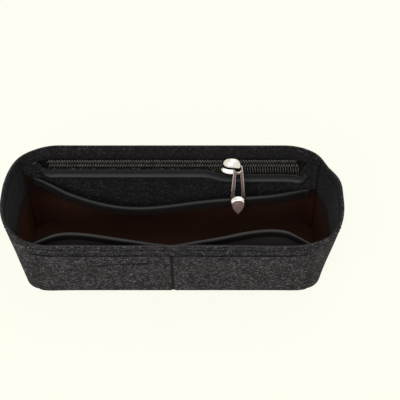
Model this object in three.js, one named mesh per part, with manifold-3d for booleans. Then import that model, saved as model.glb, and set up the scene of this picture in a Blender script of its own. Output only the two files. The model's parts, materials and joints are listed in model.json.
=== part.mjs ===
// Felt handbag organizer: an open tub with flared walls, inner and outer slip pockets and a zipped back pocket.
// Millimetres. +X runs along the width, +Y to the back, +Z up. The base rests on Z = 0.
import * as THREE from 'three';
import { mergeVertices } from 'three/addons/utils/BufferGeometryUtils.js';
import Module from 'manifold-3d';

const wasm = await Module();
wasm.setup();

// Felt shell
const rimWidth = 220;
const rimDepth = 80;
const rimCornerRadius = 36;
const baseWidth = 200;
const baseDepth = 57;
const baseCornerRadius = 12.5;
const shellHeight = 72;
const frontPanelWidth = 182; // seam to seam
const backPanelWidth = 220; // wraps round the back corners
const feltThickness = 2.2;
const seamGap = 0.3; // between pieces that touch

// Lining
const liningThickness = 0.4;
const liningDrop = 11; // bare felt above the front lining
const endLiningDrop = 30; // bare felt above the lining of the ends

// Pocket panel outside the front
const outerPocketDrop = 13; // rim to the mouths
const outerPocketMargin = 1; // from the panel's ends to the side seams
const outerPocketThickness = 1.2;
const outerPocketGape = 0.3; // how far the two mouths stand off the wall

// Slip pockets inside the front
const pocketFabric = 0.6;
const frontPocketMargin = 2; // from the pockets' ends to the side seams
const frontLipDrop = 7; // rim to the lip
const frontLeftGape = 9.5;
const frontRightGape = 11.8;
const gapeFromMiddle = 1.2; // higher opens later from the middle seam
const gapeToEnds = 5; // higher stays open closer to the ends
const gapeRise = 1.3; // higher opens later from the foot
const bindingHeight = 6.5;
const bindingThickness = 1.6;

// Slip pocket inside the back
const backPocketMargin = 11; // from the zip's ends to the pockets' ends
const slipLeftDrop = 16.6; // rim to the lip's left end
const slipRightDrop = 30;
const slipDip = 18.2; // how far the lip is scooped
const slipDipAt = -31;
const slipDipSpread = 52;
const slipGape = 11.8;
const slipGapeEnds = 4; // higher stays open closer to the ends

// Zip, set out along the back wall
const zipDrop = 10.6; // rim to the middle of the zip
const zipOverrun = 10.5; // past the straight run of the rim, at each end
const tapeThickness = 0.5;
const tapeLap = 2.4; // tape hidden behind the felt edge
const coilGap = 1.4; // between the two rows
const coilWidth = 2.7;
const coilThickness = 2;
const toothPitch = 1.6;
const toothDepth = 0.9;
const headerThickness = 1.2;
const zipPanelThickness = 1.5;
const facingThickness = 0.7;
const facingHeight = 6.4;
const facingMargin = 5; // from the zip's ends to the strip's ends
const facingDip = 4.5; // the strip hangs lower under the closed end
const facingDipAt = 28;
const facingDipRun = 18;
const edgeClearance = 0.35; // felt edge to slider

// Slider and pull
const sliderLength = 13;
const sliderPlate = 1;
const sliderFlange = 0.6;
const sliderClearance = 0.3;
const sliderWallClearance = 0.8;
const sliderCornerRadius = 2;
const sliderRest = 39; // along the zip, from its middle
const wedgeLength = 3;
const wedgeFromShoulder = 1.2;
const capLength = 14;
const capWidth = 7.6;
const capRoof = 1.7;
const tunnelHeight = 4.6;
const capHeel = 2.4; // solid end of the cap
const bailRadius = 1.2;
const bailInset = 2.6; // bail axis to the cap's end
const eyeClearance = 0.85; // room for the leaning eye round the bail
const eyeRim = 1.1;
const pullLean = 38; // degrees off the vertical, over the pocket lip
const pullLength = 32.5; // bail axis to the tip
const pullThickness = 1.2;
const pullSlotStart = 4.6;
const pullSlotEnd = 19.8;
const pullSlotTopWidth = 2;
const pullSlotEndWidth = 4.2;
const dropLength = 12.8;
const dropShoulder = 3.8;
const dropWidth = 10.4;
const dropThickness = 4;

// Worked out from the sizes above
const frontPocketHalf = frontPanelWidth / 2 - frontPocketMargin;
const outerPocketHalf = frontPanelWidth / 2 - outerPocketMargin;
const zipLength = rimWidth - 2 * rimCornerRadius + 2 * zipOverrun;
const backPocketHalf = zipLength / 2 + backPocketMargin;
const facingHalf = zipLength / 2 + facingMargin;
const outerPocketHeight = shellHeight - outerPocketDrop;
const frontLipHeight = shellHeight - frontLipDrop;
const liningInset = feltThickness + seamGap;
const liningFace = liningInset + liningThickness;
const liningTop = shellHeight - liningDrop;
const endLiningTop = shellHeight - endLiningDrop;
const floorTop = feltThickness + seamGap + liningThickness;
const pocketFoot = floorTop + seamGap;
const pocketStand = seamGap + (bindingThickness - pocketFabric) / 2;
const wallSlope = Math.atan((rimDepth - baseDepth) / 2 / shellHeight);
const sliderWidth = coilGap + 2 * (coilWidth + sliderClearance + sliderFlange);
const edgeOffset = sliderWidth / 2 + edgeClearance; // felt edges to the middle of the zip
const zipHeight = shellHeight - zipDrop;
const tapeBack = feltThickness + sliderWallClearance + sliderPlate + sliderClearance;
const zipInset = tapeBack + tapeThickness / 2;
const tapeFront = tapeBack + tapeThickness + seamGap;
const tapeTop = zipHeight + edgeOffset + tapeLap;

const felt = { color: 0x363435, roughness: 0.95, metalness: 0 };
const feltInner = { color: 0x2b2927, roughness: 0.95, metalness: 0 };
const satin = { color: 0x1b120e, roughness: 0.6, metalness: 0 };
const binding = { color: 0x37363a, roughness: 0.7, metalness: 0 };
const tape = { color: 0x1d1b1a, roughness: 0.85, metalness: 0 };
const nylon = { color: 0x2c2a28, roughness: 0.4, metalness: 0 };
const nickel = { color: 0xd9d4d2, roughness: 0.15, metalness: 1 };

const organizer = new THREE.Group();

function addPiece(parent, name, geometry, finish) {
  const piece = new THREE.Mesh(geometry, new THREE.MeshStandardMaterial(finish));
  piece.name = name;
  parent.add(piece);
}

function mix(from, to, share) {
  return from + (to - from) * share;
}

// Keeps only merged positions, with the faces turned outwards
function closed(geometry) {
  geometry.deleteAttribute('normal');
  geometry.deleteAttribute('uv');
  const merged = mergeVertices(geometry);
  const point = merged.attributes.position;
  const index = merged.index.array;
  const corner = (i) => new THREE.Vector3().fromBufferAttribute(point, index[i]);
  let volume = 0;
  for (let i = 0; i < index.length; i += 3) {
    volume += corner(i).dot(corner(i + 1).cross(corner(i + 2)));
  }
  if (volume < 0) {
    for (let i = 0; i < index.length; i += 3) {
      [index[i], index[i + 1]] = [index[i + 1], index[i]];
    }
  }
  return merged;
}

function solid(geometry) {
  const merged = closed(geometry);
  const vertProperties = new Float32Array(merged.attributes.position.array);
  const triVerts = new Uint32Array(merged.index.array);
  return new wasm.Manifold(new wasm.Mesh({ numProp: 3, vertProperties, triVerts }));
}

function surface(body) {
  const { vertProperties, triVerts } = body.getMesh();
  const geometry = new THREE.BufferGeometry();
  geometry.setAttribute('position', new THREE.BufferAttribute(vertProperties, 3));
  geometry.setIndex(new THREE.BufferAttribute(triVerts, 1));
  return geometry;
}

// A slab bent to place(along, up, through), each from 0 to 1
function sheet(columns, rows, place) {
  const geometry = new THREE.BoxGeometry(1, 1, 1, columns, rows, 1);
  const point = geometry.attributes.position;
  for (let i = 0; i < point.count; i += 1) {
    const spot = place(point.getX(i) + 0.5, point.getY(i) + 0.5, point.getZ(i) + 0.5);
    point.setXYZ(i, spot.x, spot.y, spot.z);
  }
  return closed(geometry);
}

// Rounded outlines of the rim and the base, measured from the middle of a long side to the middle of an end
function outline(width, depth, radius) {
  const run = width / 2 - radius;
  const bend = (radius * Math.PI) / 2;
  const rest = depth / 2 - radius;
  return { run, bend, rest, radius, quarter: run + bend + rest };
}

const rim = outline(rimWidth, rimDepth, rimCornerRadius);
const base = outline(baseWidth, baseDepth, baseCornerRadius);

function along(edge, distance, inset) {
  const angle = Math.min(Math.max(distance - edge.run, 0), edge.bend) / edge.radius;
  const past = Math.max(distance - edge.run - edge.bend, 0);
  const reach = edge.radius - inset;
  return {
    x: Math.min(distance, edge.run) + reach * Math.sin(angle),
    y: edge.rest - past + reach * Math.cos(angle),
  };
}

const front = -1;
const back = 1;
const flatColumns = 2;
const curveStep = 3;

// A point of the front or back wall, at a distance along it from its middle and set in from its outer face
function wallPoint(face, distance, height, inset) {
  const low = along(base, Math.abs(distance), inset);
  const high = along(rim, Math.abs(distance), inset);
  const share = height / shellHeight;
  const x = Math.sign(distance) * mix(low.x, high.x, share);
  return new THREE.Vector3(x, face * mix(low.y, high.y, share), height);
}

// A point of an end wall, at a share of the way round it from the front seam to the back seam
function endPoint(side, share, height, inset) {
  const frontSeam = (frontPanelWidth + seamGap) / 2;
  const backSeam = (backPanelWidth + seamGap) / 2;
  const [low, high] = [base, rim].map((edge) => {
    const distance = mix(frontSeam, 2 * edge.quarter - backSeam, share);
    const face = distance < edge.quarter ? front : back;
    const spot = along(edge, Math.min(distance, 2 * edge.quarter - distance), inset);
    return new THREE.Vector3(side * spot.x, face * spot.y, 0);
  });
  return low.lerp(high, height / shellHeight).setZ(height);
}

// Columns of a long wall: a few over its flat middle, close ones where it curves
function longWall(face, foot, top, inset, thickness) {
  const half = ((face === front ? frontPanelWidth : backPanelWidth) - seamGap) / 2;
  const flat = Math.min(rim.run, base.run, half);
  const curveColumns = Math.max(Math.ceil((half - flat) / curveStep), 1);
  const perSide = flatColumns + curveColumns;
  const distance = (share) => {
    const column = Math.abs(2 * share - 1) * perSide;
    const flatPart = (Math.min(column, flatColumns) / flatColumns) * flat;
    const curvePart = (Math.max(column - flatColumns, 0) / curveColumns) * (half - flat);
    return Math.sign(share - 0.5) * (flatPart + curvePart);
  };
  return sheet(2 * perSide, 3, (u, v, w) => (
    wallPoint(face, distance(u), mix(foot, top, v), inset + w * thickness)
  ));
}

function endWall(side, foot, top, inset, thickness) {
  return sheet(14, 4, (u, v, w) => endPoint(side, u, mix(foot, top, v), inset + w * thickness));
}

function roundedRectangle(width, depth, radius) {
  const x = width / 2;
  const y = depth / 2;
  const shape = new THREE.Shape();
  shape.moveTo(x, y - radius);
  shape.absarc(x - radius, y - radius, radius, 0, Math.PI / 2);
  shape.absarc(-x + radius, y - radius, radius, Math.PI / 2, Math.PI);
  shape.absarc(-x + radius, -y + radius, radius, Math.PI, Math.PI * 1.5);
  shape.absarc(x - radius, -y + radius, radius, Math.PI * 1.5, Math.PI * 2);
  return shape;
}

function floorPlate(foot, thickness, inset) {
  const shape = roundedRectangle(baseWidth - 2 * inset, baseDepth - 2 * inset, baseCornerRadius - inset);
  const plate = new THREE.ExtrudeGeometry(shape, { depth: thickness, bevelEnabled: false, curveSegments: 5 });
  plate.translate(0, 0, foot);
  return closed(plate);
}

function addShell() {
  addPiece(organizer, 'front_wall', longWall(front, 0, shellHeight, 0, feltThickness), felt);
  addPiece(organizer, 'back_wall', longWall(back, 0, shellHeight, 0, feltThickness), felt);
  addPiece(organizer, 'left_gusset', endWall(-1, 0, shellHeight, 0, feltThickness), felt);
  addPiece(organizer, 'right_gusset', endWall(1, 0, shellHeight, 0, feltThickness), felt);
  addPiece(organizer, 'base_panel', floorPlate(0, feltThickness, feltThickness + seamGap), felt);
}

function addLining() {
  const foot = feltThickness + seamGap;
  const backTop = zipHeight - edgeOffset;
  const lined = (name, geometry) => addPiece(organizer, name, geometry, satin);
  lined('front_lining', longWall(front, foot, liningTop, liningInset, liningThickness));
  lined('back_lining', longWall(back, foot, backTop, liningInset, liningThickness));
  lined('left_lining', endWall(-1, foot, endLiningTop, liningInset, liningThickness));
  lined('right_lining', endWall(1, foot, endLiningTop, liningInset, liningThickness));
  lined('base_lining', floorPlate(foot, liningThickness, liningFace + seamGap));
}

// One felt panel, tacked down along its middle, makes two pockets
function addOuterPockets() {
  const panel = sheet(24, 4, (u, v, w) => {
    const gape = outerPocketGape * Math.abs(Math.sin(2 * Math.PI * u)) * v ** 2;
    const x = mix(-outerPocketHalf, outerPocketHalf, u);
    return wallPoint(front, x, v * outerPocketHeight, -seamGap - gape - w * outerPocketThickness);
  });
  addPiece(organizer, 'outer_pocket_panel', panel, felt);
}

// Gape of one front pocket from its middle seam, 0, to its end, 1, with its widest at 1
function frontGapeShape(share) {
  const shape = (t) => t ** gapeFromMiddle * (1 - t ** gapeToEnds);
  const widest = (gapeFromMiddle / (gapeFromMiddle + gapeToEnds)) ** (1 / gapeToEnds);
  return shape(share) / shape(widest);
}

// One panel sewn at its ends and its middle makes two gaping pockets
function addFrontPockets() {
  const gape = (x) => {
    const widest = x < 0 ? frontLeftGape : frontRightGape;
    return widest * frontGapeShape(Math.abs(x) / frontPocketHalf);
  };
  const panelTop = frontLipHeight - bindingHeight;
  const panel = sheet(32, 6, (u, v, w) => {
    const x = mix(-frontPocketHalf, frontPocketHalf, u);
    const inset = liningFace + pocketStand + gape(x) * v ** gapeRise + w * pocketFabric;
    return wallPoint(front, x, mix(pocketFoot, panelTop, v), inset);
  });
  const lip = sheet(32, 1, (u, v, w) => {
    const x = mix(-frontPocketHalf, frontPocketHalf, u);
    const inset = liningFace + seamGap + gape(x) + w * bindingThickness;
    return wallPoint(front, x, mix(panelTop + seamGap, frontLipHeight, v), inset);
  });
  addPiece(organizer, 'front_pocket_panel', panel, satin);
  addPiece(organizer, 'front_pocket_binding', lip, binding);
}

// Lower edge of the zip opening, which hangs lower under the closed end
function facingTop(x) {
  const share = THREE.MathUtils.smoothstep(x, facingDipAt - facingDipRun / 2, facingDipAt + facingDipRun / 2);
  return zipHeight - edgeOffset - facingDip * share;
}

// Back face of the zipped pocket's panel, from the lining at its foot to the tape at its top
function zipPanelInset(height) {
  const share = (height - pocketFoot) / (zipHeight - edgeOffset - pocketFoot);
  return mix(liningFace + seamGap, tapeFront, share);
}

function addZipPocket() {
  const header = sheet(24, 4, (u, v, w) => {
    const x = mix(-backPocketHalf, backPocketHalf, u);
    const rise = Math.max(2 * v - 1, 0);
    const bend = tapeTop + seamGap;
    const height = mix(mix(zipHeight + edgeOffset, bend, Math.min(2 * v, 1)), shellHeight, rise);
    const inset = mix(tapeFront, feltThickness + seamGap, rise);
    return wallPoint(back, x, height, inset + w * headerThickness);
  });
  const panel = sheet(24, 4, (u, v, w) => {
    const x = mix(-backPocketHalf, backPocketHalf, u);
    const height = mix(pocketFoot, facingTop(x), v);
    return wallPoint(back, x, height, zipPanelInset(height) + w * zipPanelThickness);
  });
  const facing = sheet(24, 1, (u, v, w) => {
    const x = mix(-facingHalf, facingHalf, u);
    const height = facingTop(x) - (1 - v) * facingHeight;
    const inset = zipPanelInset(height) + zipPanelThickness + seamGap;
    return wallPoint(back, x, height, inset + w * facingThickness);
  });
  addPiece(organizer, 'zip_header', header, felt);
  addPiece(organizer, 'zip_pocket_panel', panel, feltInner);
  addPiece(organizer, 'zip_facing', facing, binding);
}

// The lip is scooped and gapes towards the front
function addSlipPocket() {
  const lipHeight = (x) => {
    const drop = mix(slipLeftDrop, slipRightDrop, x / backPocketHalf / 2 + 0.5);
    return shellHeight - drop - slipDip * Math.exp(-(((x - slipDipAt) / slipDipSpread) ** 2));
  };
  const gape = (x) => slipGape * (1 - Math.abs(x / backPocketHalf) ** slipGapeEnds);
  const seat = (height) => zipPanelInset(height) + zipPanelThickness;
  const panel = sheet(28, 6, (u, v, w) => {
    const x = mix(-backPocketHalf, backPocketHalf, u);
    const height = mix(pocketFoot, lipHeight(x) - bindingHeight, v);
    const inset = seat(height) + pocketStand + gape(x) * v ** gapeRise + w * pocketFabric;
    return wallPoint(back, x, height, inset);
  });
  const lip = sheet(28, 1, (u, v, w) => {
    const x = mix(-backPocketHalf, backPocketHalf, u);
    const height = lipHeight(x) - (1 - v) * (bindingHeight - seamGap);
    const inset = seat(height) + seamGap + gape(x) + w * bindingThickness;
    return wallPoint(back, x, height, inset);
  });
  addPiece(organizer, 'slip_pocket_panel', panel, satin);
  addPiece(organizer, 'slip_pocket_binding', lip, binding);
}

// The zip's own frame: X along the zip, +Y into the wall, +Z up the wall
function zipFrame() {
  const frame = new THREE.Group();
  frame.position.copy(wallPoint(back, 0, zipHeight, zipInset));
  frame.rotation.x = -wallSlope;
  organizer.add(frame);
  return frame;
}

// A box in the zip's frame between two corners
function block(low, high) {
  const size = high.map((value, i) => value - low[i]);
  const geometry = new THREE.BoxGeometry(...size);
  geometry.translate(...low.map((value, i) => value + size[i] / 2));
  return geometry;
}

// A flat outline in X and Z, given its thickness along Y
function plate(shape, frontFace, backFace) {
  const geometry = new THREE.ExtrudeGeometry(shape, {
    depth: backFace - frontFace, bevelEnabled: false, curveSegments: 6,
  });
  geometry.rotateX(Math.PI / 2);
  geometry.translate(0, backFace, 0);
  return geometry;
}

const coilBack = -tapeThickness / 2 - seamGap;
const coilFront = coilBack - coilThickness;
const plateBack = coilFront - sliderClearance;
const plateFront = plateBack - sliderPlate;
const capSeat = plateFront - seamGap;
const bailAt = capLength / 2 - bailInset;
const eyeDepth = capSeat - tunnelHeight / 2;

function addTapes(frame) {
  const inner = coilGap / 2 + toothDepth / 2;
  const x = zipLength / 2;
  const y = tapeThickness / 2;
  const upperEnd = edgeOffset + tapeLap;
  const lowerEnd = edgeOffset + facingDip + tapeLap;
  addPiece(frame, 'upper_zip_tape', block([-x, -y, inner], [x, y, upperEnd]), tape);
  addPiece(frame, 'lower_zip_tape', block([-x, -y, -lowerEnd], [x, y, -inner]), tape);
}

// A row of teeth: a straight back edge and a toothed inner edge, half a pitch apart on the two rows
function coilRow(side, offset) {
  const outer = side * (coilGap / 2 + coilWidth);
  const tip = side * (coilGap / 2);
  const root = side * (coilGap / 2 + toothDepth);
  const count = Math.floor(zipLength / toothPitch) - 1;
  const start = -(count * toothPitch) / 2 + offset;
  const shape = new THREE.Shape();
  shape.moveTo(start, outer);
  for (let i = 0; i < count; i += 1) {
    shape.lineTo(start + i * toothPitch, root);
    shape.lineTo(start + (i + 0.5) * toothPitch, tip);
  }
  shape.lineTo(start + count * toothPitch, root);
  shape.lineTo(start + count * toothPitch, outer);
  return closed(plate(shape, coilFront, coilBack));
}

function addCoils(frame) {
  addPiece(frame, 'upper_coil', coilRow(1, -toothPitch / 4), nylon);
  addPiece(frame, 'lower_coil', coilRow(-1, toothPitch / 4), nylon);
}

// Two plates joined by a wedge between the rows, with a flange along each side of the front plate
function addSliderBody(frame) {
  const x = sliderLength / 2;
  const z = sliderWidth / 2;
  const shape = roundedRectangle(sliderLength, sliderWidth, sliderCornerRadius);
  const rear = tapeThickness / 2 + sliderClearance;
  const wedgeStart = -x + wedgeFromShoulder;
  const wedgeHalf = coilGap / 2 - sliderClearance;
  const flangeBack = -tapeThickness / 2 - sliderClearance;
  const flangeEnd = x - sliderCornerRadius;
  let body = solid(plate(shape, plateFront, plateBack));
  body = body.add(solid(plate(shape, rear, rear + sliderPlate)));
  body = body.add(solid(block(
    [wedgeStart, plateBack - sliderPlate / 2, -wedgeHalf],
    [wedgeStart + wedgeLength, rear + sliderPlate / 2, wedgeHalf],
  )));
  for (const side of [-1, 1]) {
    const edges = [side * z, side * (z - sliderFlange)].sort((a, b) => a - b);
    body = body.add(solid(block(
      [-flangeEnd, plateBack - sliderPlate / 2, edges[0]],
      [flangeEnd, flangeBack, edges[1]],
    )));
  }
  addPiece(frame, 'slider_body', surface(body), nickel);
}

// A domed cap whose roof bridges from a solid heel to a round bail
function addSliderCap(frame) {
  const height = tunnelHeight + capRoof;
  const dome = new THREE.SphereGeometry(1, 24, 16);
  dome.scale(capLength / 2, height, capWidth / 2);
  dome.translate(0, capSeat, 0);
  const x = capLength;
  const z = capWidth;
  const half = solid(dome).intersect(solid(block([-x, capSeat - 2 * height, -z], [x, capSeat, z])));
  const tunnelTop = capSeat - tunnelHeight;
  const tunnel = solid(block([-capLength / 2 + capHeel, tunnelTop, -z], [x, capSeat + height, z]));
  const bail = new THREE.CylinderGeometry(bailRadius, bailRadius, height, 16);
  bail.translate(bailAt, capSeat - height / 2, 0);
  const cap = half.subtract(tunnel).add(solid(bail).intersect(half));
  addPiece(frame, 'slider_cap', surface(cap), nickel);
}

// An eye round the bail, two spreading legs and a faceted drop
function addPull(frame) {
  const pivot = new THREE.Group();
  pivot.position.set(bailAt, eyeDepth, 0);
  pivot.rotation.x = wallSlope - THREE.MathUtils.degToRad(pullLean);
  frame.add(pivot);
  const eye = bailRadius + eyeClearance;
  const ring = eye + eyeRim;
  const dropTop = -pullLength + dropLength;
  const shoulder = dropWidth / 2;
  const shape = new THREE.Shape();
  shape.absarc(0, 0, ring, 0, Math.PI);
  shape.lineTo(-shoulder, dropTop);
  shape.lineTo(-shoulder, dropTop - dropShoulder);
  shape.lineTo(shoulder, dropTop - dropShoulder);
  shape.lineTo(shoulder, dropTop);
  shape.lineTo(ring, 0);
  const hole = new THREE.Path();
  hole.absarc(0, 0, eye, 0, Math.PI * 2);
  const slot = new THREE.Path();
  slot.moveTo(-pullSlotTopWidth / 2, -pullSlotStart);
  slot.lineTo(pullSlotTopWidth / 2, -pullSlotStart);
  slot.lineTo(pullSlotEndWidth / 2, -pullSlotEnd);
  slot.lineTo(-pullSlotEndWidth / 2, -pullSlotEnd);
  shape.holes.push(hole, slot);
  const legs = solid(plate(shape, -pullThickness / 2, pullThickness / 2));
  const profile = [
    new THREE.Vector2(0, -pullLength),
    new THREE.Vector2(shoulder, dropTop - dropShoulder),
    new THREE.Vector2(shoulder, dropTop),
    new THREE.Vector2(0, dropTop),
  ];
  const drop = new THREE.LatheGeometry(profile, 12);
  drop.rotateX(Math.PI / 2);
  drop.scale(1, dropThickness / dropWidth, 1);
  addPiece(pivot, 'zip_pull', surface(legs.add(solid(drop))), nickel);
}

function addZip() {
  const frame = zipFrame();
  addTapes(frame);
  addCoils(frame);
  const slider = new THREE.Group();
  slider.position.x = sliderRest;
  frame.add(slider);
  addSliderBody(slider);
  addSliderCap(slider);
  addPull(slider);
}

addShell();
addLining();
addOuterPockets();
addFrontPockets();
addZipPocket();
addSlipPocket();
addZip();

export default organizer;
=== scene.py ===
# Felt handbag organizer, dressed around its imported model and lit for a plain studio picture.
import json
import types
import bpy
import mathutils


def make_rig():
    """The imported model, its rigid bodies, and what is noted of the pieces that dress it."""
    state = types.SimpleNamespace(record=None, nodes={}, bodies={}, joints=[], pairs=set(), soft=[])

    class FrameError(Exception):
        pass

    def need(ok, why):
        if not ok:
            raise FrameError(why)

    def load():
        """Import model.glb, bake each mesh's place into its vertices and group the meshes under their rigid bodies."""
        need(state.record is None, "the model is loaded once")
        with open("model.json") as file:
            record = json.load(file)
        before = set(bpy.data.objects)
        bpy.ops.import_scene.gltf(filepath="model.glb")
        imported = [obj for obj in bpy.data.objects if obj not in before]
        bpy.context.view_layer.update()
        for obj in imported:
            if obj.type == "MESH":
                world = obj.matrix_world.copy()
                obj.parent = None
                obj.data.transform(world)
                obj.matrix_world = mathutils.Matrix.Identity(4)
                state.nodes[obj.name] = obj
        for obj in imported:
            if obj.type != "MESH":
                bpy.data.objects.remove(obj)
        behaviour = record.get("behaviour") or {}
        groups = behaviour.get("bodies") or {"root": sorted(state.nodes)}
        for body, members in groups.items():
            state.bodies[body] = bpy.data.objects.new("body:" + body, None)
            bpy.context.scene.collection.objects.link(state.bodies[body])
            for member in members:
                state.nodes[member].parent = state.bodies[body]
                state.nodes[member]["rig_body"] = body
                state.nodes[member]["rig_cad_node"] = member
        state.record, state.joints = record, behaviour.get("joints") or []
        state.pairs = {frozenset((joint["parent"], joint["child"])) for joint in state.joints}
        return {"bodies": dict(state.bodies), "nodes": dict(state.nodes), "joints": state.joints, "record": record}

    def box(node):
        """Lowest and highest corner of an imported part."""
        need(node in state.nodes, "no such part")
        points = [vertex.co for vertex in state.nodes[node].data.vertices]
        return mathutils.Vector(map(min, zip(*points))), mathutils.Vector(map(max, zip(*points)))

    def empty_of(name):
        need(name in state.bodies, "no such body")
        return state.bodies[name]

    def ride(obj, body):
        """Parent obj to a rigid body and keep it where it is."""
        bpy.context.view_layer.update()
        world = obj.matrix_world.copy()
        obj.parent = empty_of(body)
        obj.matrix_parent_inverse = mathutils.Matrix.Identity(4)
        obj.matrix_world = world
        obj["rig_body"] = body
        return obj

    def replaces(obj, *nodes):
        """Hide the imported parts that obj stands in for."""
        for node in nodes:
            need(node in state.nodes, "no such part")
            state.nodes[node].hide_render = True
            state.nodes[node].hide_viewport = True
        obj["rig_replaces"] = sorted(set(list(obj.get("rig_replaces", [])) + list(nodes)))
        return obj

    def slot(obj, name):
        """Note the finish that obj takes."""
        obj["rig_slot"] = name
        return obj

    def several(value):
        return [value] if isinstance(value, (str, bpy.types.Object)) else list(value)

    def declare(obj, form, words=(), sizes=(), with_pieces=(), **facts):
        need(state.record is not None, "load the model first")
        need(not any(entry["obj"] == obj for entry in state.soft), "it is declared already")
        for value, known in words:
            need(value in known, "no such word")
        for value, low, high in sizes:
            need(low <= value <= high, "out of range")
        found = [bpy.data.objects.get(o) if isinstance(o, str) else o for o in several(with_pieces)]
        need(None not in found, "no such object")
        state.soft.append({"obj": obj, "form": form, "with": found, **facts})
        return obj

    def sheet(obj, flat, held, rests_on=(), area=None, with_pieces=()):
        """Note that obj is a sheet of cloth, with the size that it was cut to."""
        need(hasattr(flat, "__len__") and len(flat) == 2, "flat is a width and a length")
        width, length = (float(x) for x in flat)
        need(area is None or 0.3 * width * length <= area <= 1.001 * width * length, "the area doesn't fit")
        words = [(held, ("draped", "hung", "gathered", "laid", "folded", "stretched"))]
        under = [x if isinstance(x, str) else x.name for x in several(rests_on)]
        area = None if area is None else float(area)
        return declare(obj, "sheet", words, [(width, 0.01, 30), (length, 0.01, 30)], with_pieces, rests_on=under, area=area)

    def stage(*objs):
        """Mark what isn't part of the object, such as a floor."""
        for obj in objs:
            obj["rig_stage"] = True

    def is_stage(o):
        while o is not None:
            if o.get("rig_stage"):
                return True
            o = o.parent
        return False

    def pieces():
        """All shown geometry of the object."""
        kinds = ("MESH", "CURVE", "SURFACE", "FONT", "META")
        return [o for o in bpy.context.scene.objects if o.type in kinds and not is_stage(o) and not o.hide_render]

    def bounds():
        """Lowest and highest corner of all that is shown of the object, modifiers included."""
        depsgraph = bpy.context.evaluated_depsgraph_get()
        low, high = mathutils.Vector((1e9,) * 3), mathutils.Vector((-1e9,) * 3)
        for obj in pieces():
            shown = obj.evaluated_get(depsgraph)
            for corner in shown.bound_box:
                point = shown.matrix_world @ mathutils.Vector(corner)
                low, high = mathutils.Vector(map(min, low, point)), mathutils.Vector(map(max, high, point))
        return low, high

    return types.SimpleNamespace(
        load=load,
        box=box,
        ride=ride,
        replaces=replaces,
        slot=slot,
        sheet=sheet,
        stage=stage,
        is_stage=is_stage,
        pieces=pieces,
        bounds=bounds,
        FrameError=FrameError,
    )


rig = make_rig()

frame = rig.load()
cadLow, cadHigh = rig.bounds()

import json
from contextlib import contextmanager
from math import atan, atan2, copysign, cos, exp, hypot, pi, radians, sin, sqrt

import bmesh
import bpy
import numpy as np
from mathutils import Matrix, Vector, noise

mm = 0.001
front, back = -1, 1  # the long walls, by the sign of y
ends = ((-1, "left"), (1, "right"))
print("model loaded:", len(frame["nodes"]), "nodes")


def clamp(value):
    return min(max(value, 0.0), 1.0)


def smooth(low, high, value):
    share = clamp((value - low) / (high - low))
    return share * share * (3 - 2 * share)


def mix(low, high, share):
    return low + (high - low) * share


def bell(away, width):
    return exp(-(away / width) ** 2)


def linear(hexText):
    values = [int(hexText[i:i + 2], 16) / 255 for i in (1, 3, 5)]
    return [v / 12.92 if v <= 0.04045 else ((v + 0.055) / 1.055) ** 2.4 for v in values] + [1.0]


# Materials

def cleared(owner):
    owner.use_nodes = True
    owner.node_tree.nodes.clear()
    return owner


def newMaterial(name):
    return cleared(bpy.data.materials.new(name))


def addNode(mat, kind, inputs=None, out=0, stops=(), **settings):
    # settings come first, because they decide which sockets there are
    node = mat.node_tree.nodes.new("ShaderNode" + kind)
    for key, value in settings.items():
        setattr(node, key, value)
    for socket, value in (inputs or {}).items():
        if isinstance(value, bpy.types.NodeSocket):
            mat.node_tree.links.new(value, node.inputs[socket])
        else:
            node.inputs[socket].default_value = value
    if stops:
        elements = node.color_ramp.elements
        while len(elements) < len(stops):
            elements.new(0.5)
        for element, (place, hexText) in zip(elements, stops):
            element.position = place
            element.color = linear(hexText)
    return node.outputs[out] if node.outputs else node


felt = {
    "tones": ((0.36, "#070606"), (0.48, "#1f1c1d"), (0.57, "#534f52"), (0.66, "#b2adb2")),
    "fleckTone": "#b2adb2",
    "cloud": 11 * mm,  # slow change of tone
    "cloudTone": "#c4c4c4",
    "fibre": 1.2 * mm,  # real fibres are 0.03 mm: drawn as tufts that the picture can show
    "lay": 0.62,  # the tufts are drawn out along the walls
    "fleck": 2.3 * mm,  # spacing of the pale tufts
    "relief": 0.5 * mm,
    "insideShadeShare": 0.78,  # share of painted shade, a flat darker tone, on the inside faces
    "insideShadeTone": "#3c393a",
    # painted shade multiplied into the inside faces
    "insideShadeTint": "#bab7b8",
    # painted highlight on the cut edges, in the pale fleck tone
    "edgeHighlight": 0.3,
    # painted shade in grooves, creases and seams
    "darkeningTone": "#0b0a0b",
}


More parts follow.
